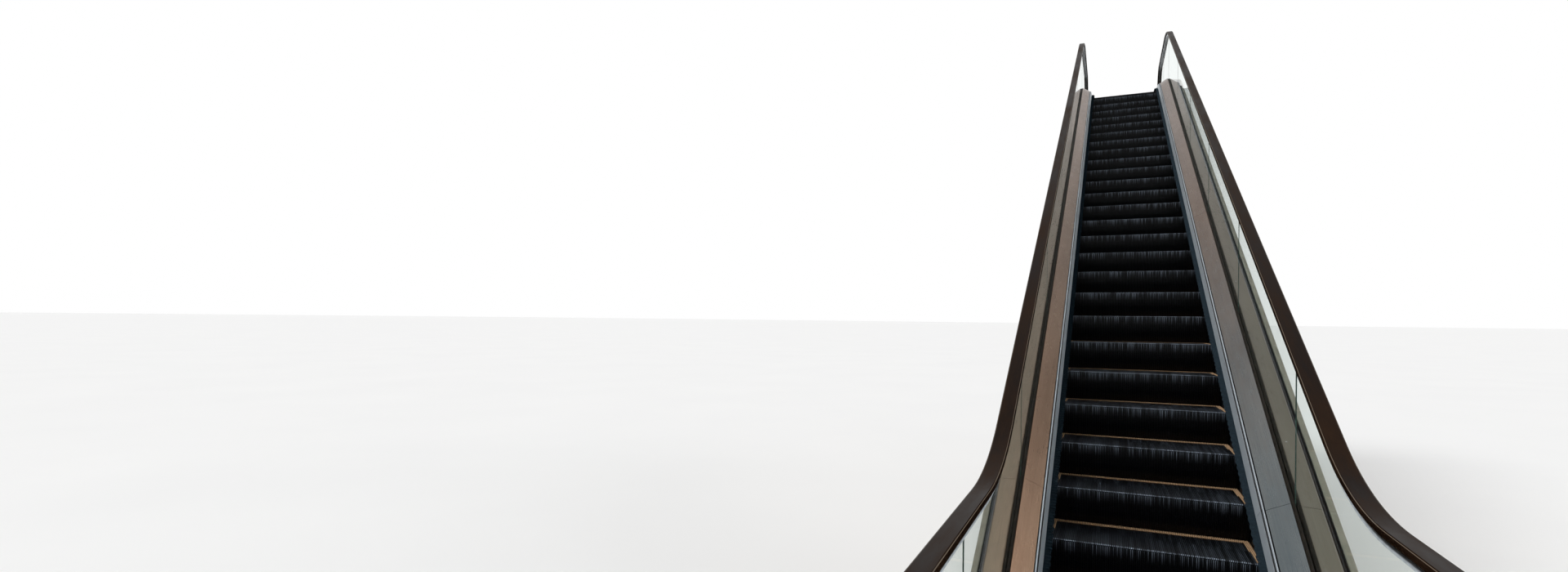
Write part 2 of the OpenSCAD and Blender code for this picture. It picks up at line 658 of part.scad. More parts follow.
// Truss sides: two chords, uprights and diagonals
web_w = 60;
low_d = -truss_depth;
bay_p = [for (i = [0:bays]) let (t = i / bays) mitre(v1, 0) + (v2 - v1) * t];
function square_off(p, d, a) = [p[0] - d * sin(a), p[1] + d * cos(a)];
up_tops = concat([[web_w / 2, 0, 0], [v1[0] / 2, 0, 0]],
  [for (i = [0:bays]) [bay_p[i][0], bay_p[i][1], i == 0 || i == bays ? half : incline]],
  [[(v2[0] + total) / 2, rise, 0], [total - web_w / 2, rise, 0]]);
function up_top(u) = let (k = u[2] == half ? 1 / cos(half) : 1) square_off([u[0], u[1]], (d_chord - chord_h / 2) * k, u[2]);
function up_low(u) = let (k = u[2] == half ? 1 / cos(half) : 1) square_off([u[0], u[1]], (low_d + chord_h / 2) * k, u[2]);

module strut(a, b, w) {
  l = norm(b - a);
  translate(a) rotate(atan2(b[1] - a[1], b[0] - a[0])) translate([0, -w / 2]) square([l, w]);
}

module truss_side() {
  band(low_d, low_d + chord_h, x_chord, x_truss, 0, total);
  band(d_chord - chord_h, d_chord, x_chord, x_truss, 0, total);
  translate([x_chord + 10, 0, 0]) rotate([90, 0, 90]) linear_extrude(chord_w - 20) {
    for (u = up_tops) strut(up_low(u), up_top(u), web_w);
    for (i = [0:len(up_tops) - 2])
      if (i % 2 == 0) strut(up_low(up_tops[i]), up_top(up_tops[i + 1]), web_w * 0.8);
      else strut(up_top(up_tops[i]), up_low(up_tops[i + 1]), web_w * 0.8);
  }
}
module truss_left() { color(steel) left_hand() truss_side(); }
module truss_right() { color(steel) truss_side(); }

// Tubes across the truss: along the bottom, and under the rails with seats for them
module truss_crossbeams() {
  color(steel) {
    for (i = [1:len(up_tops) - 2]) let (u = up_tops[i], p = up_low(u))
      translate([-x_chord, p[0], p[1]]) rotate([u[2], 0, 0]) translate([0, -web_w / 2, -web_w / 2])
        cube([2 * x_chord, web_w, web_w]);
    for (i = [1:bays - 1]) let (u = up_tops[i + 2], p = [u[0], u[1]])
      translate([-x_chord, p[0], p[1]]) rotate([incline, 0, 0]) translate([0, -web_w / 2, main_under_i - clear - web_w])
        cube([2 * x_chord, web_w, web_w]);
    for (q = [[low_arc_y - 300, 0], [low_comb + 40, 0], [top_arc_y + 420, rise], [top_comb - 40, rise]])
      translate([0, q[0] - web_w / 2, q[1]]) {
        translate([-x_chord, 0, trail_under_f - clear - web_w]) cube([2 * x_chord, web_w, web_w]);
        both() translate([main_x - 5, 0, trail_under_f - clear]) cube([roller_w + 4, web_w, main_under_f - trail_under_f]);
      }
  }
}

module truss_ends() {
  color(steel) for (q = [[0, 0], [total - 12, rise]]) translate([0, q[0], q[1]]) {
    translate([-x_chord, 0, d_chord - 220]) cube([2 * x_chord, 12, 220]);
    translate([-x_chord, 0, low_d]) cube([2 * x_chord, 12, 160]);
  }
}

// Support angles: the vertical leg stands on the truss end, the level leg bears on the building
module support_angle() {
  leg = 160;
  translate([-x_truss, -angle_t, -bearing_drop - leg + angle_t]) cube([2 * x_truss, angle_t, leg]);
  translate([-x_truss, -angle_reach, -bearing_drop]) cube([2 * x_truss, angle_reach - angle_t, angle_t]);
}
module support_angle_lower() { color(steel) support_angle(); }
module support_angle_upper() { color(steel) translate([0, total, rise]) mirror([0, 1, 0]) support_angle(); }

// Cladding: side sheets with their rails, soffit, in panels with narrow joints
panel_gap = 6;
panel_joints = [for (i = [1:2:bays - 1]) bay_p[i]];
module panel_cuts(x0, x1) {
  for (p = panel_joints) translate([x0, p[0], p[1]]) rotate([incline, 0, 0])
    translate([0, -panel_gap / 2, -d_soffit - 60]) cube([x1 - x0, panel_gap, d_soffit + 60 + 104]);
}

module cladding_side() {
  difference() {
    union() {
      path_run([[x_side - clad_t, -220], [x_side, -220], [x_side, 112], [x_side - clad_t, 112]],
        v1, v2, low_r, top_r, deck_low, deck_top);
      band(-d_soffit, -200, x_side - clad_t, x_side, deck_low, deck_top);
      band(low_d + 10, low_d + 40, x_truss, x_side - clad_t + 1, deck_low, deck_top);
      band(d_chord - chord_h + 10, d_chord - chord_h + 40, x_truss, x_side - clad_t + 1, deck_low, deck_top);
    }
    panel_cuts(x_truss - 5, x_side + 5);
  }
}
module cladding_left() { color(beige) left_hand() cladding_side(); }
module cladding_right() { color(beige) cladding_side(); }

module cladding_soffit() {
  color(beige) difference() {
    union() {
      band(-d_soffit - clad_t, -d_soffit, -x_side, x_side, deck_low, deck_top);
      for (u = up_tops) if (u[0] > deck_low && u[0] < deck_top) let (p = up_low(u))
        translate([-x_chord + 60, p[0], p[1]]) rotate([u[2], 0, 0])
          translate([0, -20, -chord_h / 2 - (d_soffit - truss_depth) - 1])
            cube([2 * x_chord - 120, 40, d_soffit - truss_depth + 11 - clear]);
    }
    panel_cuts(-x_side - 5, x_side + 5);
  }
}

// Landings
module floor_outline(y_end, y_base, y_comb) {
  polygon([[-x_side, y_end], [x_side, y_end], [x_side, y_base], [x_skirt, y_base], [x_skirt, y_comb],
    [-x_skirt, y_comb], [-x_skirt, y_base], [-x_side, y_base]]);
}
module floor_plates() {
  color(stainless) {
    translate([0, 0, plate_up - plate_t]) linear_extrude(plate_t) floor_outline(0, base_low, low_comb - comb_d);
    translate([0, 0, rise + plate_up - plate_t]) linear_extrude(plate_t) floor_outline(total, base_top, top_comb + comb_d);
  }
}

module floor_frames() {
  color(steel) {
    translate([0, 0, d_chord]) floor_frame(base_low - 10);
    translate([0, total, rise + d_chord]) mirror([0, 1, 0]) floor_frame(total - base_top - 10);
  }
}
module floor_frame(l) {
  fh = plate_up - plate_t - d_chord;
  both() translate([x_chord, 0, 0]) cube([chord_w, l, fh]);
  for (y = [0, l / 2 - 30, l - 60]) translate([-x_chord - 1, y, 0]) cube([2 * x_chord + 2, 60, fh]);
  for (x = [-sh * 0.5, sh * 0.5 - 50]) translate([x, 50, 0]) cube([50, l - 100, fh]);
}

// Comb plate with its row of teeth over the treads
foot_w = 50;
module comb(y0) {
  tp = 2 * sh / teeth;
  tooth_l = 60;
  translate([0, y0, 0]) {
    translate([-x_skirt, 0, 0]) rotate([90, 0, 90]) linear_extrude(2 * x_skirt)
      polygon([[-comb_d, 4], [0, 4], [0, 10], [-60, plate_up], [-comb_d, plate_up]]);
    translate([0, 0, 4]) linear_extrude(5) polygon(concat([[-sh, -1]],
      [for (i = [0:teeth - 1]) each [[-sh + i * tp + tp * 0.3, -1], [-sh + i * tp + tp * 0.4, tooth_l],
        [-sh + i * tp + tp * 0.6, tooth_l], [-sh + i * tp + tp * 0.7, -1]]],
      [[sh, -1], [sh, -5], [-sh, -5]]));
    // Feet on the truss chords
    both() translate([x_skirt - 40, -comb_d, d_chord]) cube([x_chord - x_skirt + 80, foot_w, 64]);
  }
}
module comb_lower() { color(stainless) comb(low_comb); }
module comb_upper() { color(stainless) translate([0, top_comb, rise]) mirror([0, 1, 0]) comb(0); }

// Everything above is drawn from the lower truss end; the origin is moved to the bearing face
module place() {
  translate([0, (angle_reach + angle_t) / 2, bearing_drop]) children();
}

place() truss_left();
place() truss_right();
place() truss_crossbeams();
place() truss_ends();
place() support_angle_lower();
place() support_angle_upper();
place() cladding_left();
place() cladding_right();
place() cladding_soffit();
place() cladding_caps();
place() groove_strips();
place() outer_deck_left();
place() outer_deck_right();
place() glass_clamp_left();
place() glass_clamp_right();
place() glass_gaskets();
place() glass_panels_left();
place() glass_panels_right();
place() inner_deck_left();
place() inner_deck_right();
place() skirt_left();
place() skirt_right();
place() brush_holders();
place() skirt_brushes();
place() handrail_guide_left();
place() handrail_guide_right();
place() handrail_lights();
place() handrail_left();
place() handrail_right();
place() newel_covers();
place() handrail_inlets();
place() balustrade_brackets();
place() steps_lower();
place() steps_incline_a();
place() steps_incline_b();
place() steps_incline_c();
place() steps_upper();
place() step_edges();
place() step_rails();
place() step_chains();
place() turning_shafts();
place() comb_lower();
place() comb_upper();
place() floor_plates();
place() floor_frames();
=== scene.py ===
# %% [markdown]
# # An escalator, dressed for its picture
# The CAD model gives every sheet, section and step in metres. Here each of them gets a finish that
# is worked out by nodes, and the small things that are too many for CAD are modelled: the ribs of
# treads, risers and landing plates, the bristles of the skirt brush, the edges of the glass, the
# screws and the stop buttons.

# %% Load the machine
import math

import bmesh
import bpy
from mathutils import Matrix, Vector


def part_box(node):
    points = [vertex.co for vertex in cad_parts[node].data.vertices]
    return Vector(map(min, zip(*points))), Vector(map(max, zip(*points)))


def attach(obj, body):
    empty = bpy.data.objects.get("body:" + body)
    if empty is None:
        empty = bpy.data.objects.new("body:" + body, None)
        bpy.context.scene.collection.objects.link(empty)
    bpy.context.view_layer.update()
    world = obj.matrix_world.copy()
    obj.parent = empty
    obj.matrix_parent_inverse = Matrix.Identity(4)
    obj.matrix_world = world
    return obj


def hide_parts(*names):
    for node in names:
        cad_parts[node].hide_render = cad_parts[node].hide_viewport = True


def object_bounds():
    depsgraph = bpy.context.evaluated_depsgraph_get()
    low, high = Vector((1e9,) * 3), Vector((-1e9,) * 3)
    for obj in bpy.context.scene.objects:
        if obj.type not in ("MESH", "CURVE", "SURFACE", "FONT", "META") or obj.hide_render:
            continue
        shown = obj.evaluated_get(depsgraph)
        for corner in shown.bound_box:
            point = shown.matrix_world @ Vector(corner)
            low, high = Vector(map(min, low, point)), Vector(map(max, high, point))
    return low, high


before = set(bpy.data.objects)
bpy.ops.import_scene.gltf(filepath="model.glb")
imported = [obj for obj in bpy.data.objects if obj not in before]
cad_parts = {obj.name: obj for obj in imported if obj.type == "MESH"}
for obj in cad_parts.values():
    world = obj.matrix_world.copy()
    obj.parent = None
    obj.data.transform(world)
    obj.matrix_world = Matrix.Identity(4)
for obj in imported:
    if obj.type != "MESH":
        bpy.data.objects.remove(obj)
cad_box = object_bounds()
print("CAD nodes:", len(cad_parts))

# %% [markdown]
# ## The path of the steps
# Everything on an escalator follows one line: level, a bend, the incline, a bend, level. The line
# over the step nosings is written once, and pieces are placed by their distance along it. A curve
# object could carry them too, but true arcs in a few lines give the exact place and angle.

# %% The nosing path
LEVEL = 0.080
BEND_LOW = 2.2620
BEND_TOP = 12.4581
RISE = 5.5
RADIUS_LOW = 1.0
RADIUS_TOP = 1.5
SLOPE = math.radians(30)
ARC_LOW = RADIUS_LOW * SLOPE
ARC_TOP = RADIUS_TOP * SLOPE
INCLINE = 11.0 - (RADIUS_LOW + RADIUS_TOP) * math.tan(SLOPE / 2)
LENGTH = ARC_LOW + INCLINE + ARC_TOP
CLIMB_START = 2.53


def on_path(s):
    """Place and angle on the nosing path, s metres after the lower bend begins."""
    if s < 0:
        return BEND_LOW + s, LEVEL, 0.0
    if s < ARC_LOW:
        a = s / RADIUS_LOW
        return BEND_LOW + RADIUS_LOW * math.sin(a), LEVEL + RADIUS_LOW * (1 - math.cos(a)), a
    if s < ARC_LOW + INCLINE:
        t = s - ARC_LOW
        y = BEND_LOW + RADIUS_LOW * math.sin(SLOPE) + t * math.cos(SLOPE)
        return y, LEVEL + RADIUS_LOW * (1 - math.cos(SLOPE)) + t * math.sin(SLOPE), SLOPE
    if s < LENGTH:
        a = SLOPE - (s - ARC_LOW - INCLINE) / RADIUS_TOP
        return BEND_TOP - RADIUS_TOP * math.sin(a), LEVEL + RISE - RADIUS_TOP * (1 - math.cos(a)), a
    return BEND_TOP + s - LENGTH, LEVEL + RISE, 0.0


def frame_at(s, x=0.0, above=0.0):
    """The matrix that stands a piece on the path, square to it."""
    y, z, a = on_path(s)
    return Matrix.Translation((x, y, z)) @ Matrix.Rotation(a, 4, "X") @ Matrix.Translation((0, 0, above))


print("path length", round(LENGTH, 3))

# %% [markdown]
# ## The camera
# The picture is taken from the lower landing, a little left of the middle of the steps, with a wide
# lens looking up along the run. It could be placed by eye, but long edges then stray, so place,
# turn, lens and shift were fitted together to the deck edges and the nosings.

# %% Camera
YAW = math.radians(23.239)
PITCH = math.radians(0.208)
ROLL = math.radians(0.620)
ahead = Vector((-math.sin(YAW) * math.cos(PITCH), math.cos(YAW) * math.cos(PITCH), math.sin(PITCH)))
across = Vector((math.cos(YAW), math.sin(YAW), 0))
upward = across.cross(ahead)
side = across * math.cos(ROLL) + upward * math.sin(ROLL)
head = upward * math.cos(ROLL) - across * math.sin(ROLL)
camera = bpy.data.objects.new("camera", bpy.data.cameras.new("camera"))
bpy.context.scene.collection.objects.link(camera)
turned = Matrix((side, head, -ahead)).transposed().to_4x4()
camera.matrix_world = Matrix.Translation((-0.200, -0.6235, 1.6977)) @ turned
camera.data.sensor_width = 36
camera.data.lens = 15.836
camera.data.shift_x = -0.01834
camera.data.shift_y = 0.01965
camera.data.clip_end = 4000
bpy.context.scene.camera = camera
print("camera at", [round(v, 3) for v in camera.location])

# %% [markdown]
# ## Sockets as numbers
# A finish is a sum of patterns. One small class wraps a socket, so that patterns are added and
# multiplied as plain Python, and one method makes every node. Nodes could be linked one by one,
# but a finish would then be hard to read.


# %% Node tools
class Nodes:
    """A node tree with one way of adding to it."""

    def __init__(self, tree):
        self.tree = tree

    def join(self, socket, value):
        if isinstance(value, Wire):
            self.tree.links.new(value.socket, socket)
        else:
            socket.default_value = value

    def add(self, kind, settings=None, sockets=None, out=0):
        """Any node: its settings first, then its sockets, and the wire from one output."""
        node = self.tree.nodes.new(kind)
        for name, value in (settings or {}).items():
            setattr(node, name, value)
        for name, value in (sockets or {}).items():
            self.join(node.inputs[name], value)
        return Wire(self, node.outputs[out])


class Wire:
    """An output socket with the maths that is used on it."""

    def __init__(self, owner, socket):
        self.owner = owner
        self.socket = socket

    def math(self, operation, other=0.0, clamp=False, swap=False):
        first, second = (other, self) if swap else (self, other)
        return self.owner.add("ShaderNodeMath", {"operation": operation, "use_clamp": clamp},
                              {0: first, 1: second})

    def __add__(self, other):
        return self.math("ADD", other)

    __radd__ = __add__

    def __sub__(self, other):
        return self.math("SUBTRACT", other)

    def __rsub__(self, other):
        return self.math("SUBTRACT", other, swap=True)

    def __mul__(self, other):
        return self.math("MULTIPLY", other)

    __rmul__ = __mul__

    def band(self, low, high):
        """0 below low, 1 above high, and a straight slope between."""
        return ((self - low) * (1.0 / (high - low))).math("ADD", 0.0, clamp=True)

    def wrap(self, pitch):
        """Where in a repeat of the pitch, from 0 to 1."""
        return (self * (1.0 / pitch)).math("FRACT")


class Finish(Nodes):
    """A material in the making: one node tree round one shader."""

    def __init__(self, name, **shader):
        self.material = bpy.data.materials.new(name)
        self.material.use_nodes = True
        super().__init__(self.material.node_tree)
        self.shader = self.tree.nodes["Principled BSDF"]
        for socket, value in shader.items():
            self.shader.inputs[socket.replace("_", " ")].default_value = value
        self.point = self.add("ShaderNodeTexCoord", out="Object")
        split = self.add("ShaderNodeSeparateXYZ", None, {0: self.point}).socket.node
        self.x, self.y, self.z = (Wire(self, split.outputs[i]) for i in range(3))

    def vector(self, x, y, z):
        return self.add("ShaderNodeCombineXYZ", None, {"X": x, "Y": y, "Z": z})

    def noise(self, vector, scale=1.0, detail=3.0, rough=0.5):
        return self.add("ShaderNodeTexNoise", None,
                        {"Vector": vector, "Scale": scale, "Detail": detail, "Roughness": rough})

    def mix(self, factor, first, second):
        """Two colours by a factor."""
        return self.add("ShaderNodeMix", {"data_type": "RGBA"}, {0: factor, 6: first, 7: second}, 2)

    def bump(self, height, distance, strength):
        return self.add("ShaderNodeBump", None,
                        {"Height": height, "Distance": distance, "Strength": strength})

    def path_axes(self):
        """How far along the run a point is, and how far above the nosing line."""
        climb = ((self.y - CLIMB_START) * math.tan(SLOPE)).math("MAXIMUM", 0.0).math("MINIMUM", RISE)
        return self.y * math.cos(SLOPE) + climb * math.sin(SLOPE), self.z - LEVEL - climb

    def wear(self, **links):
        """Joins what varies over the surface to the shader, and gives the material."""
        for socket, value in links.items():
            self.join(self.shader.inputs[socket.replace("_", " ")], value)
        return self.material


def rgb(colour):
    return (*colour, 1.0)


# %% [markdown]
# ## Metal sheets
# Decks, covers and trims are stainless or anodised sheet, brushed along the run. Brushing is very
# long, very narrow scratches: noise stretched along the path, mild in the colour and stronger in
# the gloss. A wide slow cloud on top stands for hands, shoes and cleaning. A photograph of steel
# could be wrapped on instead, but noise along the path keeps its grain true round both bends.


# %% Brushed metal
def brushed(name, base, streak, roughness, far=None, shade_bands=(), **shader):
    """far: two colours for the upper part of the run, a painted reflection. shade_bands: ranges of |x|
    painted near black, as painted shade.
    """
    f = Finish(name, **(shader or {"Metallic": 1.0}))
    along, above = f.path_axes()
    grain = f.noise(f.vector(f.x * 900.0, along * 3.0, above * 900.0), 1.0, 2.0)
    cloud = f.noise(f.vector(f.x * 5.0, along * 0.9, above * 5.0), 1.0, 4.0)
    smear = f.noise(f.vector(f.x * 24.0, along * 7.0, above * 24.0), 1.0, 5.0, 0.62)
    pattern = (grain * 0.5 + cloud * 0.5).band(0.36, 0.64)
    tone = f.mix(pattern, rgb(base), rgb(streak))
    # Up the run the tone turns to the far colours. This is a painted reflection: darker, and brown on the
    # right deck.
    if far:
        tone = f.mix((f.y + smear * 1.5).band(4.2, 7.6), tone, f.mix(pattern, rgb(far[0]), rgb(far[1])))
    # The near-black bands in the trim's grooves and along the deck where it runs under the trim are painted
    # shade.
    for low, high in shade_bands:
        away = f.x.math("ABSOLUTE")
        shade_band = away.band(low - 0.0003, low + 0.0003) - away.band(high - 0.0003, high + 0.0003)
        tone = f.mix(shade_band, tone, rgb((0.006, 0.006, 0.006)))
    gloss = grain * 0.14 + smear * 0.20 + (roughness - 0.17)
    return f.wear(Base_Color=tone, Roughness=gloss, Normal=f.bump(grain, 0.0002, 0.35))


# Both inner decks are the same stainless sheet. The warm tone of the left deck and the cool tone of the
# right deck are painted reflections.
left_deck_finish = brushed("left inner deck, painted warm reflection", (0.120, 0.073, 0.048), (0.192, 0.124, 0.085), 0.30,
                           far=((0.098, 0.056, 0.034), (0.156, 0.098, 0.065)), shade_bands=[(0.50, 0.5336)])
right_deck_finish = brushed("right inner deck, painted cool reflection", (0.100, 0.120, 0.130), (0.165, 0.177, 0.178), 0.30,
                            far=((0.098, 0.062, 0.043), (0.152, 0.102, 0.074)), shade_bands=[(0.50, 0.5336)])
outer_deck_finish = brushed("outer deck, brushed", (0.112, 0.096, 0.074), (0.172, 0.150, 0.118), 0.34,
                            far=((0.086, 0.066, 0.048), (0.130, 0.103, 0.077)))
cover_finish = brushed("newel cover, brushed", (0.200, 0.178, 0.148), (0.300, 0.270, 0.228), 0.34)
trim_finish = brushed("satin anodised trim", (0.36, 0.395, 0.435), (0.48, 0.52, 0.56), 0.42,
                      shade_bands=[(0.5126, 0.5208), (0.5276, 0.54)], Metallic=0.35)
clamp_finish = brushed("glass clamp, dark lacquer", (0.013, 0.008, 0.004), (0.027, 0.016, 0.008), 0.46,
                       Specular_IOR_Level=0.02)
guide_finish = brushed("handrail guide, drawn", (0.10, 0.10, 0.105), (0.26, 0.26, 0.27), 0.30)
plate_finish = brushed("landing plate, brushed", (0.20, 0.195, 0.185), (0.31, 0.30, 0.285), 0.40)
comb_finish = brushed("comb casting", (0.22, 0.22, 0.215), (0.34, 0.34, 0.33), 0.42)
print("brushed finishes: 9")

# %% [markdown]
# ## Paint
# The cladding is beige powder coat: fine orange peel in the bump, slow changes of tone, and a
# little dust. The tone drifts slowly over several sheets. Cloud, dust and runs could be layers of
# their own, but three noises in one factor look the same and need fewer nodes.


# %% Powder coat
def powder_coat(name, base, shade, roughness=0.45, **shader):
    f = Finish(name, **shader)
    peel = f.noise(f.point, 420.0, 2.0)
    cloud = f.noise(f.point, 0.7, 4.0, 0.6)
    dust = f.noise(f.point, 9.0, 6.0, 0.65)
    runs = f.noise(f.vector(f.x * 3.0, f.y * 11.0, f.z * 0.8), 1.0, 4.0, 0.6)
    tone = f.mix((cloud * 0.45 + dust * 0.3 + runs * 0.25).band(0.38, 0.64), rgb(base), rgb(shade))
    return f.wear(Base_Color=tone, Roughness=dust * 0.22 + (roughness - 0.11),
                  Normal=f.bump(peel, 0.0004, 0.3))


def cap_with_painted_shade(name):
    """Beige on top, and dark bronze on the wall that looks at the glass, as painted shade in the gap."""
    f = Finish(name, Specular_IOR_Level=0.15)
    dust = f.noise(f.point, 9.0, 6.0, 0.65)
    peel = f.noise(f.point, 420.0, 2.0)
    beige = f.mix(dust.band(0.38, 0.64), rgb((0.30, 0.275, 0.225)), rgb((0.25, 0.228, 0.185)))
    # The dark colour on the inner wall is painted shade of the gap.
    bronze = f.mix(dust.band(0.38, 0.64), rgb((0.022, 0.013, 0.007)), rgb((0.013, 0.008, 0.005)))
    outward = f.x.math("ABSOLUTE").band(0.7991, 0.7996)
    return f.wear(Base_Color=f.mix(outward, bronze, beige), Roughness=dust * 0.22 + 0.3,
                  Normal=f.bump(peel, 0.0004, 0.3))


cladding_finish = powder_coat("beige cladding", (0.40, 0.325, 0.245), (0.33, 0.265, 0.195))
cap_finish = cap_with_painted_shade("beige top edge, painted shade inside")
# The strip at the foot of the gap beside the outer deck is painted near black, as painted shade of the gap.
gap_shade_finish = powder_coat("dark strip, painted shade of the gap", (0.024, 0.014, 0.008), (0.014, 0.008, 0.005), 0.45,
                            Specular_IOR_Level=0.03)
steel_finish = powder_coat("grey primer", (0.24, 0.245, 0.25), (0.15, 0.155, 0.16), 0.62)
print("painted finishes: 4")

# %% [markdown]
# ## Running gear
# Rails, chains and shafts are bare steel under an oil film, brown where the film is thick. One
# noise drives both the colour and the gloss, since oil darkens steel and dulls it together.


# %% Oiled steel
def oiled_steel(name):
    f = Finish(name, Metallic=1.0)
    film = f.noise(f.point, 14.0, 6.0, 0.7)
    fine = f.noise(f.point, 300.0, 2.0)
    tone = f.mix(film.band(0.4, 0.62), rgb((0.32, 0.32, 0.32)), rgb((0.09, 0.072, 0.055)))
    return f.wear(Base_Color=tone, Roughness=film * 0.4 + 0.12, Normal=f.bump(fine, 0.0003, 0.3))


machine_finish = oiled_steel("oiled steel")

# %% [markdown]
# ## Steps
# The castings are painted near black. Shoes polish the tops of the ribs, most of all at the nosing,
# and the polish fades down the riser in streaks. The bright tops are partly bare metal and partly a
# painted bluish highlight. How far a point lies under the nosing line sets how bright they are: it is
# nought at every nosing and greatest where a riser meets the tread below, so the foot of each riser
# and the back of each tread on the incline get painted shade. One noise over the whole riser would
# look like cloth, so each rib of each step has its own chance.


# %% Step castings
RIBS_PER_METRE = 110.0
FIRST_RISER = 3.17
STEPS_PER_METRE = 2.849


def step_black(name, polished, depth):
    """polished is the share of bright rib top at the nosing, partly bare metal and partly painted highlight;
    it is gone at the depth below it, which paints shade lower down.
    """
    f = Finish(name, Specular_IOR_Level=0.12)
    above = f.path_axes()[1]
    speck = f.noise(f.point, 170.0, 4.0, 0.7)
    patch = f.noise(f.point, 5.0, 4.0)
    rib = ((f.x + 0.5) * RIBS_PER_METRE).math("FLOOR")
    step = ((f.y - FIRST_RISER) * STEPS_PER_METRE).math("FLOOR")
    chance = f.add("ShaderNodeTexWhiteNoise", {"noise_dimensions": "2D"},
                   {"Vector": f.vector(rib, step, 0.0)})
    # Bright near the nosing and dark deeper below it: painted shade towards the corners where riser and
    # tread meet.
    fade_into_shade = (above + (chance - 0.6) * (depth * 0.7)).band(-depth, -0.001)
    worn = (chance * 0.5 + patch * 0.5).band(0.10, 0.90)
    rub_and_highlight = fade_into_shade * fade_into_shade * worn * polished + speck.band(0.55, 0.75) * 0.02
    # The bright colour is bluish grey: partly bare metal, partly painted highlight.
    tone = f.mix(rub_and_highlight, rgb((0.0020, 0.0023, 0.0030)), rgb((0.30, 0.35, 0.43)))
    return f.wear(Base_Color=tone, Roughness=speck * 0.25 + 0.26, Normal=f.bump(speck, 0.0003, 0.3))


casting_finish = step_black("step casting, black", 0.015, 0.10)
tread_rib_finish = step_black("tread ribs, worn, painted highlight", 0.22, 0.40)
riser_rib_finish = step_black("riser ribs, worn, painted highlight", 0.62, 0.062)
nosing_finish = step_black("nosing, rubbed, painted highlight", 1.5, 0.12)
skirt_finish = step_black("skirt, low friction black", 0.05, 0.30)
print("step finishes: 5")

# %% [markdown]
# ## Plastics and rubber
# The tan inserts are moulded plastic. The floor between their ribs is painted dark, as painted shade in
# the grooves, so the rib tops look paler. Gaskets and bristles are matt black. All of them come from
# one mould of finish, because they differ only in colour, gloss and the size of the dirt.


# %% Moulded plastics
def moulded(name, base, shade, roughness, grime=22.0, **shader):
    f = Finish(name, **shader)
    dirt = f.noise(f.point, grime, 6.0, 0.7)
    fine = f.noise(f.point, 600.0, 2.0)
    tone = f.mix(dirt.band(0.4, 0.7), rgb(base), rgb(shade))
    return f.wear(Base_Color=tone, Roughness=dirt * 0.2 + (roughness - 0.1),
                  Normal=f.bump(fine, 0.0003, 0.3))


insert_rib_finish = moulded("tan insert ribs", (0.66, 0.44, 0.26), (0.52, 0.34, 0.195), 0.45)
# The floor between the tan ribs is painted dark: painted shade in the grooves.
insert_floor_shade_finish = moulded("tan insert floor, painted groove shade", (0.30, 0.19, 0.105), (0.16, 0.098, 0.052), 0.6)
rubber_finish = moulded("black gasket rubber", (0.010, 0.008, 0.006), (0.021, 0.017, 0.013), 0.6,
                        Specular_IOR_Level=0.08)
bristle_finish = moulded("black bristles", (0.010, 0.019, 0.027), (0.020, 0.034, 0.046), 0.6, 70.0,
                         Specular_IOR_Level=0.08)
button_finish = moulded("signal red plastic", (0.55, 0.018, 0.012), (0.36, 0.012, 0.010), 0.35)
seal_finish = moulded("dark green glass edge", (0.022, 0.055, 0.042), (0.012, 0.030, 0.024), 0.25)
print("moulded finishes: 6")

# %% [markdown]
# ## Handrail, glass and lamps
# The belt is polished rubber: dark brown, with a clear gloss that hands have dulled in places. The
# glass is clear with a faint green body, and its index is lower than that of real glass, which
# keeps the white studio from hazing what stands behind it. The strip of lamps under the handrail
# is a milky diffuser that glows a little.


# %% Belt, glass and diffuser
BELT_MIDDLE = 0.6575
BELT_EDGE = 0.0350


def polished_belt(name):
    f = Finish(name, Coat_Roughness=0.05, Coat_IOR=1.25, Specular_IOR_Level=0.0)
    along, above = f.path_axes()
    drawn = f.noise(f.vector(f.x * 500.0, along * 2.0, above * 500.0), 1.0, 2.0)
    hands = f.noise(f.vector(f.x * 9.0, along * 1.7, above * 9.0), 1.0, 5.0, 0.65)
    tone = f.mix(hands.band(0.35, 0.68), rgb((0.009, 0.0045, 0.0028)), rgb((0.027, 0.0145, 0.0085)))
    # Thin pale lines along both top edges of the belt are a painted highlight.
    edge = ((f.x.math("ABSOLUTE") - BELT_MIDDLE).math("ABSOLUTE") - BELT_EDGE).math("ABSOLUTE")
    tone = f.mix(0.55 - edge.band(0.0005, 0.0014) * 0.55, tone, rgb((0.30, 0.24, 0.18)))
    return f.wear(Base_Color=tone, Roughness=hands * 0.25 + 0.22, Coat_Weight=0.52 - hands * 0.6,
                  Normal=f.bump(drawn, 0.00015, 0.25))


def clear_glass(name):
    f = Finish(name, Transmission_Weight=1.0, IOR=1.06)
    smudge = f.noise(f.point, 3.0, 6.0, 0.7)
    body = f.mix(smudge.band(0.3, 0.8), rgb((0.90, 0.955, 0.93)), rgb((0.86, 0.925, 0.90)))
    return f.wear(Base_Color=body, Roughness=smudge.band(0.5, 0.8) * 0.02)


def glowing_strip(name):
    f = Finish(name, Emission_Strength=0.18, Roughness=0.4)
    along = f.path_axes()[0]
    dots = (along.wrap(0.05) - 0.5).math("ABSOLUTE").band(0.1, 0.5)
    glow = f.mix(dots * 0.5, rgb((0.50, 0.54, 0.58)), rgb((0.34, 0.37, 0.40)))
    return f.wear(Base_Color=glow, Emission_Color=glow)


belt_finish = polished_belt("handrail rubber, polished")
glass_finish = clear_glass("toughened glass")
lamp_finish = glowing_strip("milky diffuser, lit")
print("belt, glass, diffuser")

# %% [markdown]
# ## Finishes on the CAD nodes
# Each node keeps its shape and takes the finish of what it is on the real machine.

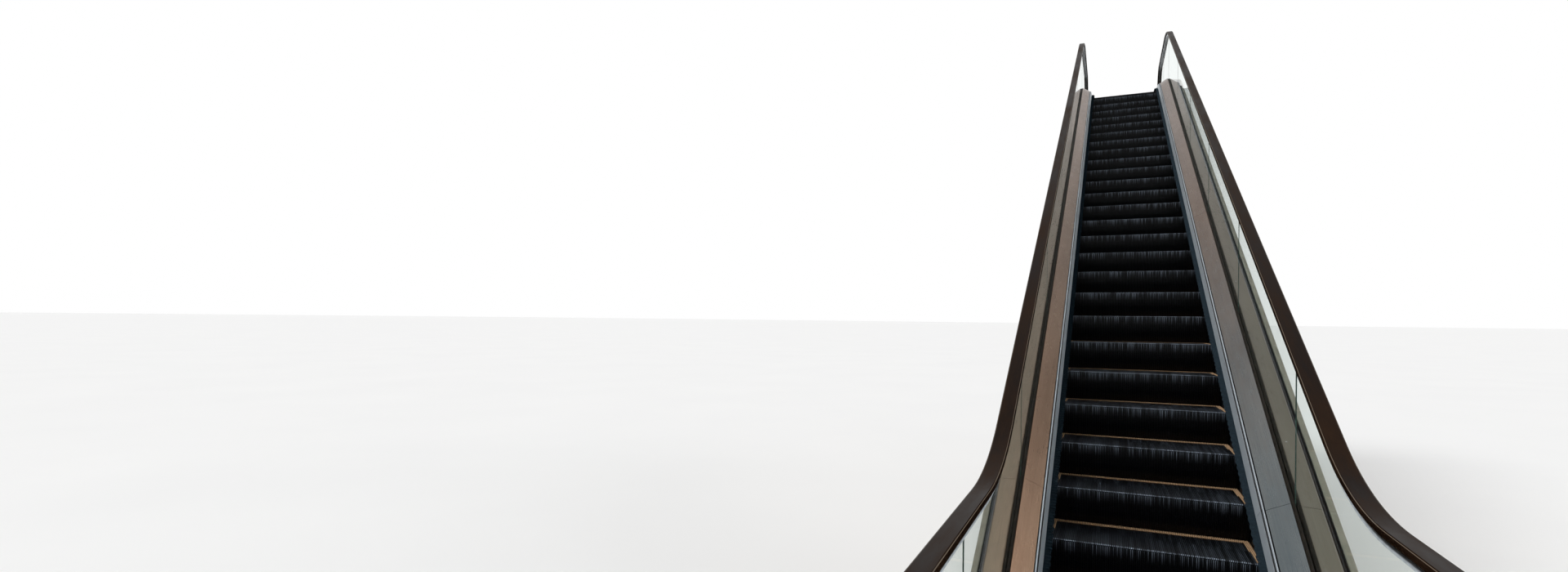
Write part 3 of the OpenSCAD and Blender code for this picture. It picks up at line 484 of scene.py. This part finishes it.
# %% Paint the nodes
finishes = {
    "truss_left truss_right truss_crossbeams truss_ends support_angle_lower support_angle_upper "
    "balustrade_brackets floor_frames": steel_finish,
    "cladding_left cladding_right cladding_soffit": cladding_finish,
    "cladding_caps": cap_finish,
    "groove_strips": gap_shade_finish,
    "outer_deck_left outer_deck_right": outer_deck_finish,
    "inner_deck_left": left_deck_finish,
    "inner_deck_right": right_deck_finish,
    "glass_clamp_left glass_clamp_right": clamp_finish,
    "glass_gaskets handrail_inlets": rubber_finish,
    "glass_panels_left glass_panels_right": glass_finish,
    "skirt_left skirt_right": skirt_finish,
    "brush_holders": trim_finish,
    "skirt_brushes": bristle_finish,
    "handrail_guide_left handrail_guide_right": guide_finish,
    "handrail_lights": lamp_finish,
    "handrail_left handrail_right": belt_finish,
    "newel_covers": cover_finish,
    "steps_lower steps_incline_a steps_incline_b steps_incline_c steps_upper": casting_finish,
    "step_edges": insert_floor_shade_finish,
    "step_rails step_chains turning_shafts": machine_finish,
    "comb_lower comb_upper": comb_finish,
    "floor_plates": plate_finish,
}
painted = 0
for names, finish in finishes.items():
    for name in names.split():
        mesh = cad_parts[name].data
        mesh.materials.clear()
        mesh.materials.append(finish)
        painted += 1
print("nodes painted:", painted)

# %% [markdown]
# ## Tools for new pieces
# A repeated thing is made once as a small pattern mesh, and copies of it are joined into one piece,
# so that a thousand bristles are one object. Making every bristle anew would be slow, and an
# array modifier alone would run straight on at a bend.


# %% Piece tools
def pattern(name, maker):
    """A small mesh that is copied many times."""
    bm = bmesh.new()
    maker(bm)
    mesh = bpy.data.meshes.new(name)
    bm.to_mesh(mesh)
    bm.free()
    return mesh


def strew(bm, mesh, places):
    """Copies a pattern to every matrix in places."""
    for place in places:
        before = len(bm.verts)
        bm.from_mesh(mesh)
        bm.verts.ensure_lookup_table()
        bmesh.ops.transform(bm, matrix=place, verts=bm.verts[before:])


def piece(name, maker, finish):
    """One object from a bmesh, riding with the machine."""
    bm = bmesh.new()
    maker(bm)
    bmesh.ops.recalc_face_normals(bm, faces=bm.faces)
    mesh = bpy.data.meshes.new(name)
    bm.to_mesh(mesh)
    bm.free()
    mesh.materials.append(finish)
    obj = bpy.data.objects.new(name, mesh)
    bpy.context.scene.collection.objects.link(obj)
    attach(obj, "root")
    mesh.calc_loop_triangles()
    print(name, len(mesh.loop_triangles), "triangles")
    return obj


def bar(bm, size, centre, taper=1.0, nose=0.0):
    """A rib with no under face, narrower on top by the taper, its front edge drawn back by nose."""
    verts = bmesh.ops.create_cube(bm, size=1.0)["verts"]
    bmesh.ops.scale(bm, vec=size, verts=verts)
    for v in verts:
        if v.co.z > 0:
            v.co.x *= taper
            v.co.y += nose if v.co.y < 0 else 0.0
    bmesh.ops.translate(bm, vec=centre, verts=verts)
    under = min({f for v in verts for f in v.link_faces}, key=lambda f: f.calc_center_median().z)
    bmesh.ops.delete(bm, geom=[under], context="FACES_ONLY")


# %% [markdown]
# ## Ribs of the treads and risers
# A tread is a comb: more than a hundred narrow ribs run front to back, with the teeth of the comb
# plate between them. The riser's ribs stand half a pitch aside, so that they run in the grooves of
# the tread below. They could be a bump in the finish, but their tops and sides are seen from close
# by, so they are real. One step's ribs are made once and copied to every step of the band.

# %% One step's ribs
STEP_PHASE = 1.1557
STEP_PITCH = 0.4053
STEP_NUMBERS = range(-5, 28)
TREAD = 0.400
RIBS = 110
RIB_PITCH = 1.0 / RIBS
RIB_HIGH = 0.0038
INSERT_REAR = 0.042
INSERT_SIDE = 0.030
INSERT_FRONT = 0.024
rib_lines = [-0.5 + RIB_PITCH * i for i in range(1, RIBS)]
groove_lines = [-0.5 + RIB_PITCH * (i + 0.5) for i in range(RIBS)]


def tan_from(x):
    """Where along its tread the rib at x passes from the casting to the tan insert."""
    share = (0.5 - INSERT_FRONT - abs(x)) / (INSERT_SIDE - INSERT_FRONT)
    return 0.012 + (TREAD - INSERT_REAR - 0.012) * min(max(share, 0.0), 1.0)


def step_bar(bm, x, y0, y1, wide=0.0040, nose=0.0):
    bar(bm, (wide, y1 - y0, RIB_HIGH), (x, (y0 + y1) / 2, RIB_HIGH / 2), 0.72, nose)


def tread_rib_set(bm):
    for x in rib_lines:
        if tan_from(x) > 0.013:
            step_bar(bm, x, 0.012, tan_from(x))


def insert_rib_set(bm):
    for x in rib_lines:
        step_bar(bm, x, tan_from(x), TREAD + 0.002, 0.0044)


def nosing_rib_set(bm):
    for x in rib_lines:
        step_bar(bm, x, 0.0005, 0.0118, 0.0046, 0.002)


def riser_rib_set(bm):
    """Each rib is a short line across the riser, spun about the next nosing."""
    for x in groove_lines:
        line = [bm.verts.new((x + dx, -out, 0.0)) for dx, out in
                ((-0.0021, 0.0), (-0.0012, 0.0036), (0.0012, 0.0036), (0.0021, 0.0))]
        edges = [bm.edges.new(pair) for pair in zip(line, line[1:])]
        bmesh.ops.rotate(bm, verts=line, cent=(0, TREAD, 0), matrix=Matrix.Rotation(0.006, 3, "X"))
        bmesh.ops.spin(bm, geom=line + edges, cent=(0, TREAD, 0), axis=(1, 0, 0),
                       angle=math.radians(29.0), steps=4)


def on_every_step(maker, name):
    one = pattern(name, maker)
    places = []
    for n in STEP_NUMBERS:
        y, z = on_path(STEP_PHASE + n * STEP_PITCH)[:2]
        places.append(Matrix.Translation((0, y, z)))
    return lambda bm: strew(bm, one, places)


tread_ribs = piece("tread_ribs", on_every_step(tread_rib_set, "one tread"), tread_rib_finish)
nosing_ribs = piece("nosing_ribs", on_every_step(nosing_rib_set, "one nosing"), nosing_finish)
riser_ribs = piece("riser_ribs", on_every_step(riser_rib_set, "one riser"), riser_rib_finish)
insert_ribs = piece("insert_ribs", on_every_step(insert_rib_set, "one insert"),
                    insert_rib_finish)
lowest_rib = min(v.co.z for v in riser_ribs.data.vertices)
print("steps:", len(STEP_NUMBERS), "riser ribs reach down to", round(lowest_rib, 3))

# %% [markdown]
# ## Skirt brush
# A strip of nylon bristles stands out over the edge of the steps and keeps feet away from the
# skirt. Each bristle here is a small tuft, a thin wedge with its tip a little ragged. It is long
# enough to cover the edge of the tread, as seen from the lower landing. Ten
# centimetres of brush are made first, and then laid end to end along both skirts.


# %% Bristles
BRUSH_START = 1.0853 - BEND_LOW + 0.003
BRUSH_END = LENGTH + 13.7280 - BEND_TOP - 0.003
BRUSH_LENGTHS = round((BRUSH_END - BRUSH_START) / 0.1)
BRUSH_STEP = (BRUSH_END - BRUSH_START) / BRUSH_LENGTHS
TUFTS = 30
BRISTLE = 0.042


def brush_length(bm):
    lay = Matrix.Translation((BRISTLE / 2, 0, 0)) @ Matrix.Rotation(math.radians(90), 4, "Y")
    for i in range(TUFTS):
        place = Matrix.Translation((0, BRUSH_STEP * ((i + 0.5) / TUFTS - 0.5), 0))
        lean = Matrix.Rotation(math.radians(6 + 3 * math.sin(i * 7.233)), 4, "Y")
        size = Matrix.Scale(0.94 + 0.05 * math.sin(i * 12.9898), 4, (1, 0, 0))
        bmesh.ops.create_cone(bm, cap_ends=False, segments=3, radius1=0.0024, radius2=0.0018,
                              depth=BRISTLE, matrix=place @ lean @ size @ lay)


def brush_places():
    places = []
    for i in range(BRUSH_LENGTHS):
        s = BRUSH_START + BRUSH_STEP * (i + 0.5)
        places.append(frame_at(s, -0.5035, 0.0478))
        places.append(frame_at(s, 0.5035, 0.0478) @ Matrix.Rotation(math.pi, 4, "Z"))
    return places


brush = pattern("ten centimetres of brush", brush_length)
bristles = piece("skirt_bristles", lambda bm: strew(bm, brush, brush_places()), bristle_finish)
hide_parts("skirt_brushes")

# %% [markdown]
# ## Landing plates and combs
# The floor covers have low ribs so that shoes grip, and the comb has ribs behind its teeth that
# lead the foot over the edge. Each rib is one tapered bar without an under face, which nothing sees.

# %% Ribs on the landing plates and combs
plate_low, plate_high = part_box("floor_plates")
comb_low_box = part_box("comb_lower")
comb_top_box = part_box("comb_upper")
PLATE_TOP = 0.020


def plate_rib_rows(bm):
    for near, far, level in ((plate_low.y, 1.0253, 0.0), (13.7907, plate_high.y, RISE)):
        length = far - near - 0.024
        for i in range(139):
            x = -0.8142 + 1.6284 * i / 138
            bar(bm, (0.0058, length, 0.0014), (x, (near + far) / 2, LEVEL + PLATE_TOP + level + 0.0007), 0.6)


def comb_rib_rows(bm):
    for x in groove_lines:
        bar(bm, (0.0040, 0.075, 0.0016), (x, comb_low_box[0].y + 0.138, LEVEL + PLATE_TOP + 0.0008), 0.7)
        bar(bm, (0.0040, 0.075, 0.0016), (x, comb_top_box[1].y - 0.138, LEVEL + RISE + PLATE_TOP + 0.0008),
            0.7)


plate_ribs = piece("landing_plate_ribs", plate_rib_rows, plate_finish)
comb_ribs = piece("comb_ribs", comb_rib_rows, comb_finish)

# %% [markdown]
# ## Edges of the glass
# Two panels meet at a plumb joint with a gap of 3 mm. The ground edge of the glass is deep green,
# so the joint shows as one thin dark line. The glass could be tinted there, but a slim solid in the
# gap shows from every side. Its ends are read from the CAD glass itself.


# %% Joint lines
GLASS_FIRST = 1.7749
GLASS_SECOND = 3.4599
GLASS_LENGTH = 1.685
GLASS_LAST = 13.0361


def joint_places():
    inner_joints = [GLASS_SECOND + GLASS_LENGTH * i for i in range(6)]
    return [GLASS_FIRST] + inner_joints + [GLASS_LAST]


def joint_lines(bm):
    for hand in ("left", "right"):
        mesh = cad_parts["glass_panels_" + hand].data
        for y in joint_places():
            near = [v.co for v in mesh.vertices if abs(v.co.y - y) < 0.0035]
            if not near:
                continue
            low = min(v.z for v in near) + 0.004
            high = max(v.z for v in near) - 0.004
            x = sum(v.x for v in near) / len(near)
            line = bmesh.ops.create_cube(bm, size=1.0)["verts"]
            bmesh.ops.scale(bm, vec=(0.0104, 0.0028, high - low), verts=line)
            bmesh.ops.translate(bm, vec=(x, y, (high + low) / 2), verts=line)


glass_lines = piece("glass_joint_lines", joint_lines, seal_finish)

# %% [markdown]
# ## Screws
# Deck sheets and comb segments are held by countersunk screws. A head is a shallow disc with a
# round dish pushed into it. It could be painted on, but a real dish catches the light as it does.


# %% Screw heads
SCREW_FIRST = 1.92
SCREW_PITCH = 1.9455
SCREW_X = 0.706
SCREW_ABOVE = 0.1634
DECK_LEAN = 0.11


def screw_head(bm):
    bmesh.ops.create_cone(bm, cap_ends=True, segments=16, radius1=0.0052, radius2=0.0043, depth=0.0012)
    top = max(bm.faces, key=lambda f: f.calc_center_median().z)
    bmesh.ops.inset_individual(bm, faces=[top], thickness=0.0016, depth=0.0)
    bmesh.ops.inset_individual(bm, faces=[top], thickness=0.0005, depth=-0.0007)
    bmesh.ops.translate(bm, verts=bm.verts, vec=(0, 0, 0.0004))


def screw_places():
    places = []
    for hand in (-1, 1):
        lean = Matrix.Rotation(hand * DECK_LEAN, 4, "Y")
        for k in range(5):
            places.append(frame_at(SCREW_FIRST + k * SCREW_PITCH, hand * SCREW_X, SCREW_ABOVE) @ lean)
    for i in range(-4, 5):
        places.append(Matrix.Translation((i * 0.11, comb_low_box[0].y + 0.045, LEVEL + PLATE_TOP)))
        places.append(Matrix.Translation((i * 0.11, comb_top_box[1].y - 0.045, LEVEL + RISE + PLATE_TOP)))
    for corner in (-0.77, -0.26, 0.26, 0.77):
        for y, level in ((plate_low.y + 0.03, 0), (0.96, 0), (13.86, RISE), (plate_high.y - 0.03, RISE)):
            places.append(Matrix.Translation((corner, y, LEVEL + PLATE_TOP + level + 0.0012)))
    return places


screw = pattern("one screw", screw_head)
screws = piece("screw_heads", lambda bm: strew(bm, screw, screw_places()), machine_finish)

# %% [markdown]
# ## Stop buttons
# Every escalator has a stop button in reach of each landing. It is a red mushroom head on a steel
# ring, set on the sloping side of the newel cover. A profile is drawn once and spun round its axis.


# %% Buttons
def spun(bm, profile):
    """Spins a profile of (radius, height) round the upright axis."""
    line = [bm.verts.new((r, 0, h)) for r, h in profile]
    edges = [bm.edges.new(pair) for pair in zip(line, line[1:])]
    bmesh.ops.spin(bm, geom=line + edges, cent=(0, 0, 0), axis=(0, 0, 1), angle=math.tau, steps=28,
                   use_merge=True)
    bmesh.ops.remove_doubles(bm, verts=bm.verts, dist=0.00001)


def button_places():
    places = []
    for hand, y, z in ((1, 1.0553, LEVEL), (-1, 13.7607, LEVEL + RISE)):
        lean = Matrix.Rotation(-hand * math.atan2(64, 101), 4, "Y")
        places.append(Matrix.Translation((hand * 0.5825, y, z + 0.146)) @ lean)
    return places


RING = [(0.0255, -0.001), (0.0255, 0.0022), (0.0235, 0.0036), (0.0135, 0.0036), (0.0125, 0.0020)]
HEAD = [(0.0100, 0.0020), (0.0100, 0.0085), (0.0172, 0.0092), (0.0190, 0.0118), (0.0184, 0.0150),
        (0.0140, 0.0180), (0.0070, 0.0194), (0.0, 0.0197)]


ring = pattern("one ring", lambda bm: spun(bm, RING))
knob = pattern("one head", lambda bm: spun(bm, HEAD))
button_rings = piece("stop_button_rings", lambda bm: strew(bm, ring, button_places()),
                     trim_finish)
button_heads = piece("stop_button_heads", lambda bm: strew(bm, knob, button_places()),
                     button_finish)

# %% [markdown]
# ## Room and light
# A pale floor takes the shadow. The world gives even light from all round, and two broad suns give
# the shapes their light and dark sides. To the camera, to glass and to metal the world is white.


# %% Floor
def studio_floor():
    bm = bmesh.new()
    bmesh.ops.create_grid(bm, x_segments=8, y_segments=8, size=1500)
    bmesh.ops.translate(bm, verts=bm.verts, vec=(0, 7, cad_box[0].z - 0.002))
    mesh = bpy.data.meshes.new("studio_floor")
    bm.to_mesh(mesh)
    bm.free()
    floor = bpy.data.objects.new("studio_floor", mesh)
    bpy.context.scene.collection.objects.link(floor)
    f = Finish("pale floor", Roughness=0.9, Specular_IOR_Level=0.2)
    mottle = f.noise(f.point, 0.3, 3.0)
    pale = f.mix(mottle, rgb((0.90, 0.90, 0.90)), rgb((0.94, 0.94, 0.935)))
    mesh.materials.append(f.wear(Base_Color=pale))


studio_floor()


# %% World and lamps
def studio_world():
    world = bpy.data.worlds.new("studio")
    bpy.context.scene.world = world
    world.use_nodes = True
    sky = Nodes(world.node_tree)
    back = world.node_tree.nodes["Background"]
    rays = sky.add("ShaderNodeLightPath", out="Is Camera Ray")
    glossy = Wire(sky, rays.socket.node.outputs["Is Glossy Ray"])
    through = Wire(sky, rays.socket.node.outputs["Is Transmission Ray"])
    seen = rays.math("MAXIMUM", glossy).math("MAXIMUM", through)
    sky.join(back.inputs["Color"], (1, 1, 1, 1))
    sky.join(back.inputs["Strength"], seen * 0.42 + 0.58)


def broad_sun(name, towards, strength):
    lamp = bpy.data.objects.new(name, bpy.data.lights.new(name, "SUN"))
    lamp.data.energy = strength
    lamp.data.angle = math.radians(24)
    lamp.rotation_euler = Vector(towards).to_track_quat("-Z", "Y").to_euler()
    bpy.context.scene.collection.objects.link(lamp)


studio_world()
broad_sun("sun_left", (0.55, 0.45, -0.9), 1.25)
broad_sun("sun_right", (-0.8, -0.35, -0.6), 0.45)
bpy.context.scene.view_settings.view_transform = "Standard"
